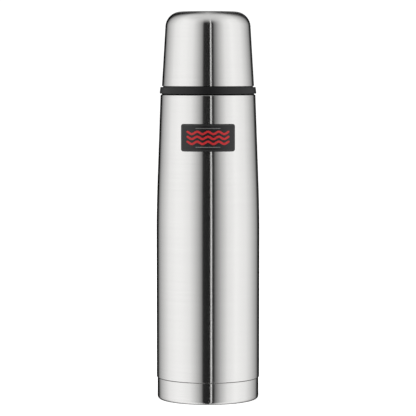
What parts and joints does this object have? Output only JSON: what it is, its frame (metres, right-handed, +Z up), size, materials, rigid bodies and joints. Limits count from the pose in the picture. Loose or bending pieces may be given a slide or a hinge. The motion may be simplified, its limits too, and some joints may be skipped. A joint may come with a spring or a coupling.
{
  "type": "vacuum flask",
  "caption": "Tall slim double-walled steel vacuum flask with a twist stopper under a screw-on drinking cup, a dark band at the cup's rim and a small plain badge.",
  "frame": {"origin": "centre of the ring that the flask stands on", "axes": "+Z up along the flask's axis, towards the cup; -Y is the front, where the badge is; +X is to the right of someone who looks at the badge"},
  "size_m": [0.083, 0.083, 0.3122],
  "materials": {
    "brushed_steel": "stainless steel brushed round the axis, bright satin",
    "satin_steel": "electropolished stainless steel, fine satin",
    "foil": "bright smooth metal foil",
    "getter_alloy": "dark grey sintered metal",
    "sealing_glass": "dark fused solder glass",
    "black_plastic": "black polypropylene with a fine moulded grain",
    "badge_plastic": "black printed badge with a thin light border",
    "dark_rubber": "black silicone rubber, matt",
    "clear_silicone": "translucent white silicone rubber",
    "foam": "white closed-cell insulating foam",
    "adhesive": "thin off-white adhesive film"
  },
  "bodies": {
    "flask": {"outer_shell": "brushed_steel", "outer_base": "brushed_steel", "vent_plug": "sealing_glass", "base_disc": "satin_steel", "inner_bottle": "satin_steel", "inner_bottom": "satin_steel", "reflective_foil": "foil", "getter": "getter_alloy", "getter_clip": "satin_steel", "collar_gasket": "dark_rubber", "neck_collar": "black_plastic", "badge_adhesive": "adhesive", "badge_plate": "badge_plastic"},
    "cup_gasket": {"cup_gasket": "dark_rubber"},
    "cup": {"cup_shell": "brushed_steel", "cup_liner": "black_plastic", "cup_rim_ring": "black_plastic"},
    "stopper_seal": {"stopper_seal": "clear_silicone"},
    "stopper": {"stopper_plug": "black_plastic", "stopper_grip": "black_plastic", "stopper_base": "black_plastic", "stopper_foam": "foam"}
  },
  "joints": [
    {"name": "cup_turn", "type": "hinge", "parent": "flask", "child": "cup_gasket", "pos_m": [0, 0, 0.246], "axis": [0, 0, 1], "range_deg": [0, 2880]},
    {"name": "cup_lift", "type": "slide", "parent": "cup_gasket", "child": "cup", "axis": [0, 0, 1], "range_m": [0, 0.09601]},
    {"name": "stopper_lift", "type": "slide", "parent": "flask", "child": "stopper_seal", "axis": [0, 0, 1], "range_m": [0, 0.02801]},
    {"name": "stopper_turn", "type": "hinge", "parent": "stopper_seal", "child": "stopper", "pos_m": [0, 0, 0.262], "axis": [0, 0, 1], "range_deg": [0, 840]}
  ],
  "couplings": [
    {"joint": "cup_lift", "follows": "cup_turn", "m_per_rad": 0.0019099},
    {"joint": "stopper_lift", "follows": "stopper_turn", "m_per_rad": 0.0019099}
  ]
}
